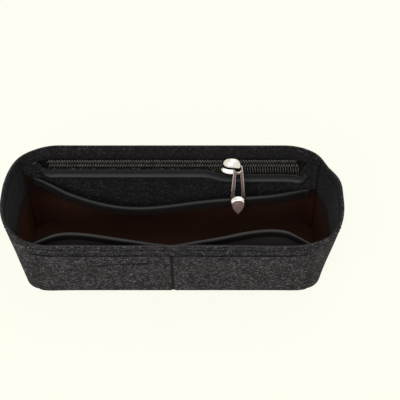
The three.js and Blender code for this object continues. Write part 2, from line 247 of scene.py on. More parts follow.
def needledFelt(name):
    # needle-punched polyester felt, dark and pale staple blended: matt, cloudy, salt and pepper
    mat = newMaterial(name)
    spec = felt
    spot = addNode(mat, "TexCoord", out="Object")
    laid = addNode(mat, "Mapping", {"Vector": spot, "Scale": (spec["lay"], spec["lay"], 1)})
    cloud = addNode(mat, "TexNoise", {
        "Vector": spot, "Scale": 1 / spec["cloud"], "Detail": 2.0}, "Fac")
    curl = addNode(mat, "TexNoise", {
        "Vector": laid, "Scale": 1 / spec["fibre"], "Detail": 2.0, "Roughness": 0.6, "Distortion": 1.6},
        "Fac")
    tuft = addNode(mat, "TexVoronoi", {
        "Vector": laid, "Scale": 1 / spec["fleck"], "Randomness": 1.0}, "Distance", feature="F1")
    colour = addNode(mat, "ValToRGB", {"Fac": curl}, stops=spec["tones"])
    flecks = addNode(mat, "ValToRGB", {"Fac": tuft}, stops=((0.06, "#ffffff"), (0.25, "#000000")))
    shade = addNode(mat, "ValToRGB", {"Fac": cloud}, stops=((0.3, spec["cloudTone"]), (0.7, "#ffffff")))
    inner, edge, darkening = [addNode(mat, "Attribute", out="Fac", attribute_name=key)
                         for key in ("inner", "edge", "darkening")]
    insideShadeShare = addNode(mat, "Math", {0: inner, 1: spec["insideShadeShare"]}, operation="MULTIPLY")
    edgeHighlight = addNode(mat, "Math", {0: edge, 1: spec["edgeHighlight"]}, operation="MULTIPLY")
    # painted shade darkens the inside faces, a painted highlight in the pale fleck tone lightens the cut edges, and
    # the darkening mark draws painted shade into grooves, creases and seams and darkens the band under the rim
    for share, tone, blend in (
            (flecks, linear(spec["fleckTone"]), "MIX"), (1.0, shade, "MULTIPLY"),
            (insideShadeShare, linear(spec["insideShadeTone"]), "MIX"), (inner, linear(spec["insideShadeTint"]), "MULTIPLY"),
            (edgeHighlight, linear(spec["fleckTone"]), "MIX"), (darkening, linear(spec["darkeningTone"]), "MIX")):
        colour = addNode(mat, "Mix", {"Factor": share, "A": colour, "B": tone}, "Result",
                         data_type="RGBA", blend_type=blend)
    bump = addNode(mat, "Bump", {"Height": curl, "Strength": 0.8, "Distance": spec["relief"]})
    shader = addNode(mat, "BsdfPrincipled", {
        "Base Color": colour, "Roughness": 0.95, "Specular IOR Level": 0.05,
        "Sheen Weight": 0.08, "Sheen Roughness": 0.6, "Normal": bump})
    addNode(mat, "OutputMaterial", {"Surface": shader})
    return mat


wavePeriod = 0.314  # metres from wave to wave in a wave texture of scale 1
wearSize = 7 * mm
taffeta = {"thread": 0.6 * mm, "roughness": 0.6, "gloss": 0.06, "relief": 0.03 * mm}
tapeWeave = {"thread": 0.7 * mm, "roughness": 0.5, "gloss": 0.3, "relief": 0.02 * mm}
zipWeave = {"thread": 0.8 * mm, "roughness": 0.8, "gloss": 0.1, "relief": 0.05 * mm}
threadTwist = {"thread": 0.5 * mm, "roughness": 0.6, "gloss": 0.15, "relief": 0.03 * mm}
liningDust = {"from": 28 * mm, "to": 44 * mm, "tone": "#322d2b"}


def wovenCloth(name, weave, hexDark, hexPale, dust=None, deep=None, wallSideLight=None, gloss=None):
    # plain-woven polyester: a faint grid of threads and a soft, slightly silky face
    mat = newMaterial(name)
    cut = addNode(mat, "UVMap", uv_map="cut")
    spot = addNode(mat, "TexCoord", out="Object")
    warp, weft = [addNode(mat, "TexWave", {
        "Vector": cut, "Scale": wavePeriod / weave["thread"], "Distortion": 0.4, "Detail": 1.0},
        "Fac", wave_type="BANDS", bands_direction=way) for way in ("X", "Y")]
    grid = addNode(mat, "Math", {0: warp, 1: weft}, operation="MULTIPLY")
    wear = addNode(mat, "TexNoise", {"Vector": spot, "Scale": 1 / wearSize, "Detail": 4.0}, "Fac")
    worn = addNode(mat, "Math", {0: grid, 1: wear}, operation="MULTIPLY")
    colour = addNode(mat, "ValToRGB", {"Fac": worn}, stops=((0.02, hexDark), (0.45, hexPale)))
    layers = []
    if dust:  # fluff off the felt greys the cloth towards its top
        height = addNode(mat, "SeparateXYZ", {0: spot}, "Z")
        layers.append((addNode(mat, "MapRange", {
            "Value": height, "From Min": dust["from"], "From Max": dust["to"]},
            interpolation_type="SMOOTHSTEP"), dust["tone"]))
    if wallSideLight:  # painted light: the side towards the wall, which lies in deep shade inside the pocket, is lightened to grey
        inner = addNode(mat, "Attribute", out="Fac", attribute_name="inner")
        layers.append((addNode(mat, "Math", {0: 1.0, 1: inner}, operation="SUBTRACT"), wallSideLight))
    if deep:  # painted shade: where the darkening mark is set, as on the tape below its fold and the slip pocket towards its seams, the colour goes darker
        layers.append((addNode(mat, "Attribute", out="Fac", attribute_name="darkening"), deep))
    for share, tone in layers:
        colour = addNode(mat, "Mix", {"Factor": share, "A": colour, "B": linear(tone)}, "Result",
                         data_type="RGBA", blend_type="MIX")
    bump = addNode(mat, "Bump", {"Height": grid, "Strength": 0.5, "Distance": weave["relief"]})
    shader = addNode(mat, "BsdfPrincipled", {
        "Base Color": colour, "Roughness": weave["roughness"], "Specular IOR Level": gloss or weave["gloss"],
        "Normal": bump})
    addNode(mat, "OutputMaterial", {"Surface": shader})
    return mat


def nylonCoil(name):
    # extruded nylon monofilament, wound and heat set: smooth, waxy, with a thin bright line along each bar
    mat = newMaterial(name)
    driftSize = 4 * mm
    spot = addNode(mat, "TexCoord", out="Object")
    drift = addNode(mat, "TexNoise", {"Vector": spot, "Scale": 1 / driftSize, "Detail": 2.0}, "Fac")
    colour = addNode(mat, "ValToRGB", {"Fac": drift}, stops=((0.3, "#605d59"), (0.7, "#8a867f")))
    shader = addNode(mat, "BsdfPrincipled", {"Base Color": colour, "Roughness": 0.32, "IOR": 1.53})
    addNode(mat, "OutputMaterial", {"Surface": shader})
    return mat


def plateNickel(name, hexDark, hexPale, glossLow, glossHigh):
    # polished nickel plate over a die casting: mirror bright, with a faint haze from buffing
    mat = newMaterial(name)
    hazeSize, hazeDepth = 1.5 * mm, 0.05 * mm
    spot = addNode(mat, "TexCoord", out="Object")
    haze = addNode(mat, "TexNoise", {"Vector": spot, "Scale": 1 / hazeSize, "Detail": 4.0}, "Fac")
    gloss = addNode(mat, "MapRange", {
        "Value": haze, "From Min": 0.3, "From Max": 0.7, "To Min": glossLow, "To Max": glossHigh}, "Result")
    colour = addNode(mat, "ValToRGB", {"Fac": haze}, stops=((0.2, hexDark), (0.8, hexPale)))
    bump = addNode(mat, "Bump", {"Height": haze, "Strength": 0.08, "Distance": hazeDepth})
    shader = addNode(mat, "BsdfPrincipled", {
        "Base Color": colour, "Metallic": 1.0, "Roughness": gloss, "Normal": bump})
    addNode(mat, "OutputMaterial", {"Surface": shader})
    return mat


charcoalFelt = needledFelt("charcoal_needled_felt")
brownTaffeta = wovenCloth("brown_lining_taffeta", taffeta, "#472c21", "#5c3b2f", dust=liningDust)
# painted shade: a darker copy of the brown lining for the floor of the tub, where shade falls
floorTaffeta = wovenCloth("shaded_brown_floor_taffeta", taffeta, "#38241a", "#492f25")
# painted light: a lighter copy of the brown lining for the pocket cloth, which lies deep in shade
pocketTaffeta = wovenCloth("lightened_brown_pocket_taffeta", taffeta, "#5a3b2f", "#704f42",
                           dust=liningDust, deep="#2a0d07", wallSideLight="#63605d")
greyTaffeta = wovenCloth("grey_pocket_taffeta", taffeta, "#3a3633", "#4c4844", gloss=0.08)
darkTape = wovenCloth("dark_binding_tape", tapeWeave, "#323233", "#434344", deep="#251d19")
greyTape = wovenCloth("grey_facing_tape", tapeWeave, "#434343", "#575656", gloss=0.22)
blackTape = wovenCloth("black_zip_tape", zipWeave, "#141312", "#242220")
# twisted polyester: the same grid is seen as its plies
darkThread = wovenCloth("dark_sewing_thread", threadTwist, "#1c1b1c", "#343233")
coilNylon = nylonCoil("nylon_monofilament")
nickel = plateNickel("polished_nickel_plate", "#dcd6d2", "#ebe7e3", 0.06, 0.16)
# painted reflection: duller nickel with the rose of the brown lining, which the broad faces of the pull reflect,
# painted in
roseNickel = plateNickel("nickel_painted_rose_reflection", "#6c5656", "#836c6c", 0.2, 0.32)
# the same painted rose reflection on a rougher satin nickel
satinNickel = plateNickel("satin_nickel_painted_rose_reflection", "#977a7b", "#ad9392", 0.36, 0.46)
print("materials made")

# Shape of the tub

baseLow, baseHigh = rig.box("base_panel")

tub = {
    "felt": 2.2 * mm,
    "gap": 0.3 * mm,  # between pieces that touch
    "rimCorner": 36 * mm,
    "baseCorner": 12.5 * mm,
    "frontPanel": 182 * mm,
    "backPanel": 220 * mm,
    "lining": 0.4 * mm,
    "bareFelt": 11 * mm,  # felt left bare above the front lining
    "bareEnds": 30 * mm,
    "grid": 2 * mm,
    "roll": 0.7 * mm,  # rounding of cut felt edges
    "height": cadHigh.z,
    "rimSize": (cadHigh.x - cadLow.x, cadHigh.y - cadLow.y),
}
inward = 2 * (tub["felt"] + tub["gap"])
tub["baseSize"] = (baseHigh.x - baseLow.x + inward, baseHigh.y - baseLow.y + inward)

slump = {
    "seed": 4,  # the same waves in every run
    "wave": 0.45 * mm,
    "waveLength": 24 * mm,
    "foot": 4 * mm,  # no waves below
    "zipDepth": (6 * mm, 18 * mm),  # they fade towards the zip
    "zipEnd": (88 * mm, 102 * mm),
    "dip": 1.2 * mm,  # the rim sits lower behind the left end
    "dipAcross": (80 * mm, 97 * mm),
    "dipDepth": (-12 * mm, 14 * mm),
    "corners": [  # in millimetres, with the share of the push that reaches the base
        {"spot": (103.5, 23), "push": (-1.9, -1.5), "spread": 9, "base": 0.0},
        {"spot": (99, -27), "push": (2.4, -1.6), "spread": 18, "base": 0.25},
        {"spot": (-99, -27), "push": (-1.3, -0.9), "spread": 18, "base": 1.0},
        {"spot": (-97, 29), "push": (-1.9, 1.5), "spread": 15, "base": 0.4},
    ],
}
noise.seed_set(slump["seed"])


def outline(size, radius):
    run = size[0] / 2 - radius
    bend = radius * pi / 2
    rest = size[1] / 2 - radius
    return {"run": run, "bend": bend, "rest": rest, "radius": radius, "quarter": run + bend + rest}


rim = outline(tub["rimSize"], tub["rimCorner"])
base = outline(tub["baseSize"], tub["baseCorner"])


def along(edge, distance, inset):
    angle = min(max(distance - edge["run"], 0), edge["bend"]) / edge["radius"]
    past = max(distance - edge["run"] - edge["bend"], 0)
    reach = edge["radius"] - inset
    x = min(distance, edge["run"]) + reach * sin(angle)
    return x, edge["rest"] - past + reach * cos(angle)


def stiffPoint(face, distance, z, inset):
    low, high = along(base, abs(distance), inset), along(rim, abs(distance), inset)
    share = z / tub["height"]
    x = copysign(mix(low[0], high[0], share), distance)
    return Vector((x, face * mix(low[1], high[1], share), z))


def settle(point):
    # soft felt wanders a little, but not beside the zip
    spec = slump
    x, y, z = point
    up = smooth(spec["foot"], tub["height"], z)
    free = 1 - smooth(*spec["zipDepth"], y) * (1 - smooth(*spec["zipEnd"], abs(x)))
    wave = noise.noise_vector(Vector(point) / spec["waveLength"])
    moved = Vector(point) + wave * spec["wave"] * up * free
    for corner in spec["corners"]:
        away = hypot(x / mm - corner["spot"][0], y / mm - corner["spot"][1])
        push = bell(away, corner["spread"]) * mix(corner["base"], 1, smooth(0, tub["height"], z)) * mm
        moved.x += corner["push"][0] * push
        moved.y += corner["push"][1] * push
    low = smooth(*spec["dipAcross"], -x) * smooth(*spec["dipDepth"], y)
    moved.z -= spec["dip"] * low * (z / tub["height"]) ** 2
    return moved


def wallPoint(face, distance, z, inset):
    return settle(stiffPoint(face, distance, z, inset))


def endPoint(side, share, z, inset):
    # share runs round an end, from the front seam to the back one
    seams = [(tub[panel] + tub["gap"]) / 2 for panel in ("frontPanel", "backPanel")]
    levels = []
    for edge in (base, rim):
        distance = mix(seams[0], 2 * edge["quarter"] - seams[1], share)
        face = front if distance < edge["quarter"] else back
        x, y = along(edge, min(distance, 2 * edge["quarter"] - distance), inset)
        levels.append(Vector((side * x, face * y, z)))
    return settle(levels[0].lerp(levels[1], z / tub["height"]))


# Meshes and cloth sheets with rolled edges

@contextmanager
def edited(mesh):
    work = bmesh.new()
    work.from_mesh(mesh)
    yield work
    work.to_mesh(mesh)
    work.free()


def weld(work):
    bmesh.ops.remove_doubles(work, verts=work.verts, dist=0.001 * mm)


def linked(name, data):
    piece = bpy.data.objects.new(name, data)
    bpy.context.scene.collection.objects.link(piece)
    return piece


def newCurve(name, kind, paths, **settings):
    curve = bpy.data.curves.new(name, "CURVE")
    for key, value in settings.items():
        setattr(curve, key, value)
    for path in paths:
        spline = curve.splines.new(kind)
        spline.points.add(len(path) - 1)
        for spot, point in zip(spline.points, path):
            spot.co = (*point, 1)
    return curve


def meshPiece(name, verts, faces, finish, uvs=None, smoothShade=True, marks=None, welded=False):
    mesh = bpy.data.meshes.new(name)
    mesh.from_pydata(verts, [], faces)
    if uvs is not None:
        layer = mesh.uv_layers.new(name="cut")
        corners = np.zeros(len(mesh.loops), np.int32)
        mesh.loops.foreach_get("vertex_index", corners)
        layer.data.foreach_set("uv", np.array(uvs, np.float32)[corners].ravel())
    for key, values in (marks or {}).items():
        mesh.attributes.new(key, "FLOAT", "POINT").data.foreach_set("value", values)
    with edited(mesh) as work:
        if welded:
            weld(work)
        bmesh.ops.recalc_face_normals(work, faces=work.faces)
    mesh.polygons.foreach_set("use_smooth", [smoothShade] * len(mesh.polygons))
    mesh.materials.append(finish)
    return linked(name, mesh)


def ringFaces(first, rings, size, closed):
    # quads from each ring of points to the next, and a cap on each ring named in closed
    starts = [first + r * size for r in range(rings)]
    quads = [[low + k, low + (k + 1) % size, high + (k + 1) % size, high + k]
             for low, high in zip(starts, starts[1:]) for k in range(size)]
    return quads + [[starts[r] + k for k in range(size)] for r in closed]


def stopsBetween(low, high, step, roll):
    edge = roll * (1 - np.cos(np.linspace(0, pi / 2, 5)))[:-1]
    count = max(2, round((high - low - 2 * roll) / step))
    return np.concatenate([low + edge, np.linspace(low + roll, high - roll, count + 1), high - edge[::-1]])


def fullness(stops, roll):
    inside = np.minimum(np.minimum(stops - stops[0], stops[-1] - stops), roll) / roll
    return np.sqrt(np.clip(1 - (1 - inside) ** 2, 0, 1))


def clothSheet(name, across, up, thickness, roll, place, finish, fine=None, darkening=None, edgeHighlight=1, darkShare=1):
    # across and up are (low, high, step) on the cut cloth, place(a, b, off) gives a point off its middle
    a, b = stopsBetween(*across, roll), stopsBetween(*up, roll)
    if fine is not None:  # closer stops where a seam needs them
        clear = 0.2 * mm
        a = np.union1d(a[(a < fine[0] - clear) | (a > fine[-1] + clear)], fine)
    full = np.minimum.outer(fullness(b, roll), fullness(a, roll))
    verts, uvs, inner, edge, darkened, ids = [], [], [], [], [], {}
    for side in (1, -1):
        for j, i in np.ndindex(len(b), len(a)):
            if side < 0 and full[j, i] < 1e-9:
                ids[side, j, i] = ids[1, j, i]
                continue
            ids[side, j, i] = len(verts)
            thick = thickness(a[i], b[j]) if callable(thickness) else thickness
            verts.append(place(a[i], b[j], side * full[j, i] * thick / 2))
            uvs.append((a[i], b[j]))
            # the inner mark, scaled by darkShare: the felt paints shade on the inside faces with it
            inner.append(darkShare * (0.5 + 0.5 * side * full[j, i]))
            # painted highlight along the rounded edges
            edge.append(edgeHighlight * (1 - full[j, i]))
            # the darkening mark, which the finishes draw darker
            darkened.append(darkening(a[i], b[j]) if darkening else 0)
    faces = []
    for side in (1, -1):
        for j, i in np.ndindex(len(b) - 1, len(a) - 1):
            corner = [ids[side, j, i], ids[side, j, i + 1], ids[side, j + 1, i + 1], ids[side, j + 1, i]]
            faces.append(corner[::side])
    return meshPiece(name, verts, faces, finish, uvs, marks={"inner": inner, "edge": edge, "darkening": darkened})


def seat(piece, slot, node=None, body="tub"):
    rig.ride(piece, body)
    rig.slot(piece, slot)
    if node:
        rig.replaces(piece, node)
    return piece


thread = {
    "long": 2.6 * mm,
    "pitch": 3.3 * mm,
    "radius": 0.22 * mm,
    "sunk": 0.12 * mm,
    "steps": 5,
    "sides": 6,
}


def threadRow(name, bars, radius, finish, slot):
    # each bar(share) gives a point along one short thread and the way out of the cloth there
    steps, sides = thread["steps"], thread["sides"]
    verts, uvs, faces = [], [], []
    for bar in bars:
        faces += ringFaces(len(verts), steps, sides, (0, -1))
        for i in range(steps):
            share = i / (steps - 1)
            at, out = bar(share)
            ahead = (bar(share + 0.03)[0] - at).normalized()
            cross = out.cross(ahead).normalized()
            swell = sin(pi * mix(0.08, 0.92, share))
            centre = at + out * (radius * swell - thread["sunk"])
            for j in range(sides):
                turn = 2 * pi * j / sides
                ring = (out * sin(turn) + cross * cos(turn)) * radius * (0.35 + 0.65 * swell)
                verts.append(centre + ring)
                uvs.append((share * thread["long"], j * radius))
    return seat(meshPiece(name, verts, faces, finish, uvs), slot)


def sew(name, length, spot):
    # spot(s, inset) gives a point s along the seam, inset into the cloth
    long, pitch, depth = thread["long"], thread["pitch"], 0.5 * mm

    def outward(s):
        return spot(s, 0), (spot(s, 0) - spot(s, depth)).normalized()

    starts = [(k + 0.5) * pitch - long / 2 for k in range(int(length / pitch))]
    bars = [lambda share, start=start: outward(start + share * long) for start in starts]
    return threadRow(name, bars, thread["radius"], darkThread, "binding")


sewing = {
    "rimRow": 4.6 * mm,  # rim to its row of stitches
    "pinch": 0.4,
    "width": 1.1 * mm,
    "darkShare": 0.26,  # the band under the rim is drawn darker by this share
    "darkBandFrom": (15 * mm, 12 * mm),  # it starts between these, measured from the rim
}
cutSheets = []  # declared once the strips sewn to them are there


def sunkRow(z, off):
    # the row of stitches under the rim draws both faces in
    return off * (1 - sewing["pinch"] * bell(z - tub["height"] + sewing["rimRow"], sewing["width"]))


def feltWalls():
    height, thick, roll = tub["height"], tub["felt"], tub["roll"]
    up = (0, height, 1.2 * mm)
    lap = 0.4 * mm  # the edges are pressed together in the seams
    band = [height - drop for drop in sewing["darkBandFrom"]]
    # edgeHighlight: how much painted highlight each wall's cut edges take
    for face, panel, node, edgeHighlight in ((front, "frontPanel", "front_wall", 0.7),
                                    (back, "backPanel", "back_wall", 0.2)):
        half = tub[panel] / 2 + lap / 2
        # the darkening mark draws the band under the rim darker
        wall = clothSheet("felt_" + node, (-half, half, tub["grid"]), up, thick, roll,
                          lambda a, b, off: wallPoint(face, a, b, thick / 2 + sunkRow(b, off)), charcoalFelt,
                          darkening=lambda a, b: sewing["darkShare"] * smooth(*band, b), edgeHighlight=edgeHighlight)
        seat(wall, "felt", node)
        strips = ["zip_header_felt", "upper_tape_cloth"] if face == back else []
        cutSheets.append((wall, dict(flat=(2 * half, height), held="stretched", rests_on=["felt_base_panel"],
                                     with_pieces=strips)))
    width = 58 * mm  # round an end, halfway up
    for side, name in ends:
        wall = clothSheet(f"felt_{name}_gusset", (-lap, width + lap, tub["grid"]), up, thick, roll,
                          lambda a, b, off: endPoint(side, a / width, b, thick / 2 + sunkRow(b, off)),
                          charcoalFelt, edgeHighlight=0.2)
        seat(wall, "felt", f"{name}_gusset")
        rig.sheet(wall, flat=(width, height), held="stretched", rests_on=["felt_base_panel"])


def floorSheet(name, size, radius, z, thickness, finish):
    # rings of a rounded rectangle, closing on its long middle line
    ringPoints = 120
    edge = outline(size, radius)
    loop = []
    for k in range(ringPoints):
        walk = 4 * edge["quarter"] * k / ringPoints
        turn, rest = divmod(walk, 2 * edge["quarter"])
        x, y = along(edge, min(rest, 2 * edge["quarter"] - rest), 0)
        flip = 1 if rest < edge["quarter"] else -1
        spin = 1 if turn < 1 else -1
        loop.append((spin * x, spin * flip * y))
    rings = [(1.0, 0.0), (0.996, 0.3), (0.985, 0.5), (0.9, 0.5), (0.6, 0.5), (0.25, 0.5)]  # scale, rise
    verts, uvs, faces = [], [], []
    for side in (1, -1):
        faces += ringFaces(len(verts), len(rings), ringPoints, (-1,))
        for scale, rise in rings:
            drop = (1 - scale) * size[1] / 2
            for x, y in loop:
                px, py = copysign(max(abs(x) - drop, 0), x), y * scale
                verts.append(settle(Vector((px, py, z + thickness / 2 + side * rise * thickness))))
                uvs.append((px, py))
    return meshPiece(name, verts, faces, finish, uvs, welded=True)


def floors():
    inset = tub["felt"] - 0.3 * mm  # sewn into the walls' foot
    size = [2 * (s / 2 - inset) for s in tub["baseSize"]]
    bottom = floorSheet("felt_base_panel", size, tub["baseCorner"] - inset, 0, tub["felt"], charcoalFelt)
    seat(bottom, "felt", "base_panel")
    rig.sheet(bottom, flat=size, held="laid")
    inset = tub["felt"] + 0.2 * mm
    size = [2 * (s / 2 - inset) for s in tub["baseSize"]]
    lining = floorSheet("base_lining_cloth", size, tub["baseCorner"] - inset, tub["felt"] + tub["gap"],
                        tub["lining"], floorTaffeta)
    seat(lining, "lining", "base_lining")
    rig.sheet(lining, flat=size, held="laid", rests_on=["felt_base_panel"])


clothRoll = 0.2 * mm  # rounding of the edges of thin cloth


def puckered(point, amount, length):
    # loose cloth stands off what is behind it here and there, never behind it
    return amount * (0.5 + 0.5 * noise.noise(Vector(point) / length))


def linings():
    thick = tub["lining"]
    foot = tub["felt"] + tub["gap"]
    inset = foot + thick / 2
    frontTop = tub["height"] - tub["bareFelt"]
    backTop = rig.box("back_lining")[1].z
    endTop = tub["height"] - tub["bareEnds"]
    loose, looseLength = 0.5 * mm, 14 * mm
    corner = (88 * mm, 99 * mm)  # the back lining steps down to the height of the ends
    for face, panel, name, finish, head in ((front, "frontPanel", "front", greyTaffeta, frontTop),
                                            (back, "backPanel", "back", brownTaffeta, backTop)):
        half = (tub[panel] - tub["gap"]) / 2

        def place(a, b, off):
            low = mix(head, endTop, smooth(*corner, abs(a))) if face == back else head
            return wallPoint(face, a, mix(foot, low, (b - foot) / (head - foot)), inset + off)

        cloth = clothSheet(f"{name}_lining_cloth", (-half, half, 3 * mm), (foot, head, 3 * mm),
                           thick, clothRoll, place, finish)
        seat(cloth, "lining", f"{name}_lining")
        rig.sheet(cloth, flat=(2 * half, head - foot), held="stretched", rests_on=[f"felt_{name}_wall"])
    width = 52 * mm  # round an end, as cut
    for side, name in ends:

        def endPlace(a, b, off):
            return endPoint(side, a / width, b, inset + off + puckered((side * a, b, 0), loose, looseLength))

        cloth = clothSheet(f"{name}_lining_cloth", (0, width, 2 * mm), (foot, endTop, 2 * mm),
                           thick, clothRoll, endPlace, brownTaffeta)
        seat(cloth, "lining", f"{name}_lining")
        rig.sheet(cloth, flat=(width, endTop - foot), held="stretched", rests_on=[f"felt_{name}_gusset"])


outerPocket = {
    "drop": 13 * mm,  # rim to the mouths
    "margin": 1 * mm,
    "thick": 1.2 * mm,
    "roll": 0.45 * mm,
    "gape": 0.2 * mm,
    "gapeFrom": 0.55,  # of the height
    "groove": 1.3 * mm,  # the row of stitches down the middle pulls the felt in
    "grooveWidth": 0.8 * mm,
    "grooveShade": 0.9 * mm,
    "endEase": 7 * mm,  # the ends thin out into the side seams
    "endThin": 0.25,
    "endShade": (0.8, 1.1 * mm),
    "cornerLift": 0.5 * mm,
    "liftRun": 12 * mm,
    "crease": 0.8 * mm,
    "creaseWidth": 1.2 * mm,
    "creaseFrom": (-50 * mm, 45 * mm),
    "creaseTo": (-11 * mm, 49.8 * mm),
}


def outerPockets():
    spec = outerPocket
    half = tub["frontPanel"] / 2 - spec["margin"]
    top = tub["height"] - spec["drop"]

    def creaseDepth(a, b):
        (x0, z0), (x1, z1) = spec["creaseFrom"], spec["creaseTo"]
        share = (a - x0) / (x1 - x0)
        reach = smooth(-0.15, 0.2, share) * (1 - smooth(0.8, 1.15, share))
        return spec["crease"] * reach * bell(b - mix(z0, z1, share), spec["creaseWidth"])

    def place(a, b, off):
        z = mix(spec["cornerLift"] * smooth(half - spec["liftRun"], half, abs(a)), top, b / top)
        gape = spec["gape"] * abs(sin(pi * a / half)) ** 0.6 * smooth(spec["gapeFrom"], 1, z / top)
        ease = mix(spec["endThin"], 1, sqrt(smooth(0, spec["endEase"], half - abs(a))))
        out = (tub["gap"] + spec["thick"] / 2) * ease + gape
        if off < 0:  # the outer face alone sinks along the seam and the crease
            sunk = spec["groove"] * bell(a, spec["grooveWidth"]) + creaseDepth(a, z)
            off = min(off * ease + sunk, 0.4 * spec["thick"])
        return wallPoint(front, a, z, off - out)

    # painted shade in the middle groove, along the crease and at the side seams, where shade falls
    def darkening(a, b):
        shade, width = spec["endShade"]
        atEnds = shade * bell(half - abs(a), width)
        return max(bell(a, spec["grooveShade"]), atEnds, creaseDepth(a, b) / spec["crease"])

    fine = np.linspace(-2, 2, 17) * mm
    panel = clothSheet("outer_pocket_felt", (-half, half, 1 * mm), (0, top, 1 * mm),
                       spec["thick"], spec["roll"], place, charcoalFelt, fine, darkening)
    seat(panel, "felt", "outer_pocket_panel")
    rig.sheet(panel, flat=(2 * half, top), held="stretched", rests_on=["felt_front_wall"])


liningFace = tub["felt"] + tub["gap"] + tub["lining"]
pocketFoot = liningFace + tub["gap"]

pocketCloth = {
    "thick": 0.6 * mm,
    "rise": 1.3,  # how late a pocket opens on the way up
    "sway": 0.5 * mm,
    "swayLength": 16 * mm,
    "tuck": 0.9 * mm,  # the cloth ends this far below the top of its tape
}

binding = {
    "thick": 0.5 * mm,
    "fold": 0.95 * mm,  # radius of the folded edge
    "deep": 6.2 * mm,  # how far each half of the tape reaches down
    "shade": 0.7,
    "row": 1.2 * mm,  # stitches above its lower edge
    "rowEnd": 4 * mm,
}
tapeStand = tub["gap"] + binding["fold"] + binding["thick"] / 2


def foldedTape(name, node, half, lipTop, lipInset, face, hangsOn):
    # one tape folded over the cloth's edge: two halves and a round fold
    spec = binding
    turn = spec["fold"] * pi / 2
    reach = turn + spec["deep"]

    def place(a, b, off):
        fold = min(max(b, -turn), turn) / spec["fold"]
        radius = spec["fold"] + off
        z = lipTop(a) - spec["fold"] - spec["thick"] / 2 + radius * cos(fold) - max(abs(b) - turn, 0)
        return wallPoint(face, a, z, lipInset(a, z) + radius * sin(fold))

    # painted shade: the halves of the tape below its lit fold are drawn darker
    def darkening(a, b):
        return spec["shade"] * smooth(0.5 * turn, turn + 2 * mm, abs(b))

    tape = clothSheet(name, (-half, half, 2 * mm), (-reach, reach, 0.7 * mm), spec["thick"], clothRoll,
                      place, darkTape, darkening=darkening)
    seat(tape, "binding", node)
    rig.sheet(tape, flat=(2 * half, 2 * reach), held="folded", rests_on=[hangsOn])
    row, end = reach - spec["row"], half - spec["rowEnd"]
    sew(name + "_stitches", 2 * end, lambda s, i: place(s - end, row, spec["thick"] / 2 - i))


def opened(z, lipTop):
    return clamp((z - pocketFoot) / (lipTop - binding["deep"] - pocketFoot)) ** pocketCloth["rise"]


def swayed(a, z, layer, low, high):
    return puckered((a, z, layer), pocketCloth["sway"], pocketCloth["swayLength"]) * low * (1 - high)


frontPocket = {
    "margin": 2 * mm,
    "lipDrop": 7 * mm,
    "leftGape": 9.5 * mm,
    "rightGape": 11.8 * mm,
    "fromMiddle": 1.2,
    "toEnds": 5,
}


def frontPockets():
    spec = frontPocket
    half = tub["frontPanel"] / 2 - spec["margin"]
    top = tub["height"] - spec["lipDrop"]
    panelTop = top - pocketCloth["tuck"]
    widest = (spec["fromMiddle"] / (spec["fromMiddle"] + spec["toEnds"])) ** (1 / spec["toEnds"])

    def bow(t):
        return t ** spec["fromMiddle"] * (1 - t ** spec["toEnds"])

    def inset(a, z):
        reach = spec["leftGape"] if a < 0 else spec["rightGape"]
        gape = reach * bow(min(abs(a) / half, 1)) / bow(widest)
        return liningFace + tapeStand + gape * opened(z, top)

    def place(a, b, off):
        sway = swayed(a, b, 0.05, smooth(0, 20 * mm, b), smooth(0.75, 0.95, b / top))
        return wallPoint(front, a, b, inset(a, b) + off + sway)

    panel = clothSheet("front_pocket_cloth", (-half, half, 2 * mm), (pocketFoot, panelTop, 2 * mm),
                       pocketCloth["thick"], clothRoll, place, pocketTaffeta)
    seat(panel, "lining", "front_pocket_panel")
    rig.sheet(panel, flat=(2 * half, panelTop - pocketFoot), held="hung", rests_on=["front_lining_cloth"])
    foldedTape("front_pocket_tape", "front_pocket_binding", half, lambda a: top, inset, front,
               "front_pocket_cloth")


zipper = {
    "drop": 10.6 * mm,  # rim to the middle of the zip
    "length": 169 * mm,
    "inset": 4.55 * mm,  # tape's middle from the wall's outer face
    "edge": 4.65 * mm,  # felt edges to the middle of the zip
    "tape": 0.5 * mm,
    "lap": 2.4 * mm,
    "openRun": (20 * mm, 36 * mm),  # along here the mouth of the pocket comes to hang open
    "openLean": 2.3 * mm,  # the open tape leans forward on to the pocket's edge
    "leanFrom": 4.5 * mm,
    "leanRun": 4.4 * mm,
    "openReach": 8.9 * mm,
}
zipHeight = tub["height"] - zipper["drop"]
wallSlope = atan((tub["rimSize"][1] - tub["baseSize"][1]) / 2 / tub["height"])
zipFrame = (Matrix.Translation(stiffPoint(back, 0, zipHeight, zipper["inset"]))
            @ Matrix.Rotation(-wallSlope, 4, "X"))
tapeFront = zipper["inset"] + zipper["tape"] / 2 + tub["gap"]

zipPanel = {
    "thick": 1.5 * mm,
    "header": 1.2 * mm,
    "thin": 0.3 * mm,  # both are pressed to this in the back seams
    "ease": 86 * mm,
    "reach": 103 * mm,  # the panel runs into the back seams
    "climb": (85.5 * mm, 93 * mm),  # beyond the zip it runs up to the header
    "dip": 4.5 * mm,  # its edge hangs lower right of the slider
    "dipAt": 28 * mm,
    "dipRun": 18 * mm,
    "row": 1.3 * mm,  # stitches above the header's lower edge
    "rowHalf": 85 * mm,
}


def facingTop(a):
    middle, half = zipPanel["dipAt"], zipPanel["dipRun"] / 2
    return zipHeight - zipper["edge"] - zipPanel["dip"] * smooth(middle - half, middle + half, a)


def endEase(a):
    # 1 along the zip, falling to 0 where the pocket is sewn into the back seams
    past = clamp((abs(a) - zipPanel["ease"]) / (zipPanel["reach"] - zipPanel["ease"]))
    return sqrt(max(1 - past ** 2.2, 0))


def panelThick(a):
    return mix(zipPanel["thin"], zipPanel["thick"], endEase(a))


def panelInset(a, z):
    share = min(max((z - pocketFoot) / (zipHeight - zipper["edge"] - pocketFoot), 0), 1.1)
    stand = mix(tub["gap"], tapeFront - liningFace, share)
    return liningFace + tub["gap"] + max(stand - tub["gap"], 0) * endEase(a)


